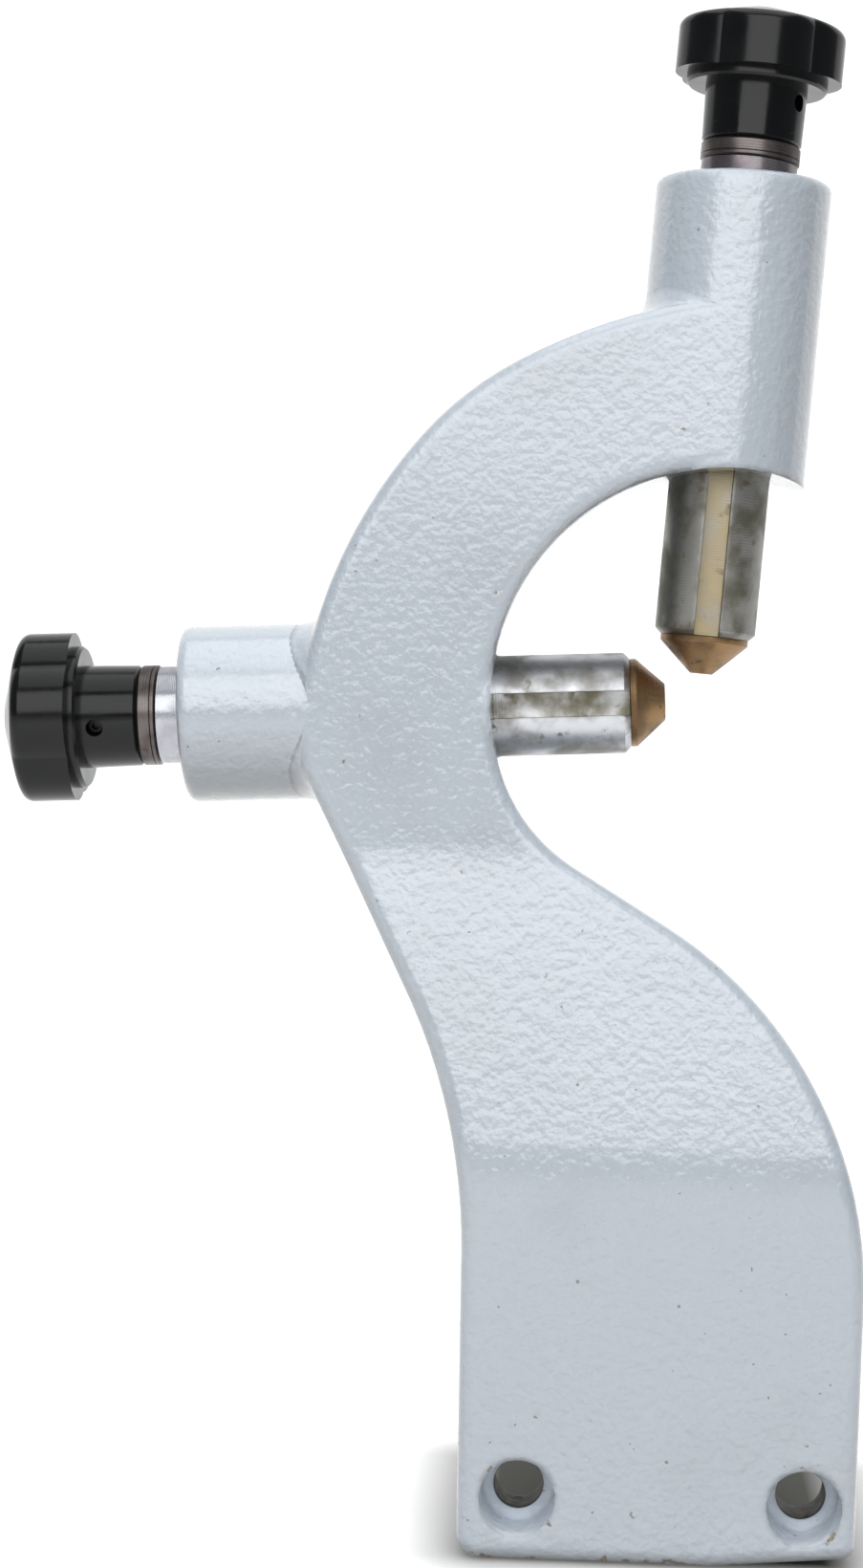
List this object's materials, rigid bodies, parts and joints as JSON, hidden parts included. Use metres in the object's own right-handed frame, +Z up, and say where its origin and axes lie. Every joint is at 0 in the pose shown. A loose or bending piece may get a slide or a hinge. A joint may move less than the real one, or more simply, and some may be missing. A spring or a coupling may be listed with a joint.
{
  "type": "lathe follow rest",
  "caption": "C-shaped cast-iron lathe follow rest on a bolted foot, with knob-fed steel jaws and bronze tips that carry a turning workpiece from the rear and from above.",
  "frame": {"origin": "midway between the two foot bolts, on the machined mounting face", "axes": "+Z up, +Y out of the mounting face towards the saddle, +X from the rear knob towards the open side of the C"},
  "size_m": [0.2156, 0.0573, 0.3773],
  "materials": {
    "paint": "glossy white enamel with a hammered, orange-peel texture over cast iron",
    "ground_steel": "ground steel with light stains",
    "bright_steel": "bright turned steel",
    "dark_steel": "oxidised turned steel",
    "bronze": "turned bronze, darkened by use",
    "black_resin": "polished black moulded resin"
  },
  "bodies": {
    "frame": {"casting": "paint", "rear_key": "ground_steel", "rear_key_screw": "dark_steel", "rear_thrust_washer": "bronze", "rear_end_bush": "bright_steel", "top_key": "ground_steel", "top_key_screw": "dark_steel", "top_thrust_washer": "bronze", "top_end_bush": "bright_steel"},
    "rear_screw": {"rear_feed_screw": "ground_steel", "rear_collar": "dark_steel", "rear_knob": "black_resin", "rear_insert": "ground_steel", "rear_grub_screw": "dark_steel"},
    "rear_jaw": {"rear_quill": "ground_steel", "rear_tip": "bronze"},
    "top_screw": {"top_feed_screw": "ground_steel", "top_collar": "dark_steel", "top_knob": "black_resin", "top_insert": "ground_steel", "top_grub_screw": "dark_steel"},
    "top_jaw": {"top_quill": "ground_steel", "top_tip": "bronze"}
  },
  "joints": [
    {"name": "rear_knob_turn", "type": "hinge", "parent": "frame", "child": "rear_screw", "pos_m": [-0.14218, 0.0115, 0.18039], "axis": [0.9978, 0, 0.0663], "range_deg": [-6961, 721]},
    {"name": "rear_jaw_slide", "type": "slide", "parent": "frame", "child": "rear_jaw", "axis": [0.9978, 0, 0.0663], "range_m": [-0.029, 0.003]},
    {"name": "top_knob_turn", "type": "hinge", "parent": "frame", "child": "top_screw", "pos_m": [0.01047, 0.0115, 0.33478], "axis": [-0.055, 0, -0.9985], "range_deg": [-6961, 721]},
    {"name": "top_jaw_slide", "type": "slide", "parent": "frame", "child": "top_jaw", "axis": [-0.055, 0, -0.9985], "range_m": [-0.029, 0.003]}
  ],
  "couplings": [
    {"joint": "rear_knob_turn", "follows": "rear_jaw_slide", "rad_per_m": 4188.8},
    {"joint": "top_knob_turn", "follows": "top_jaw_slide", "rad_per_m": 4188.8}
  ]
}
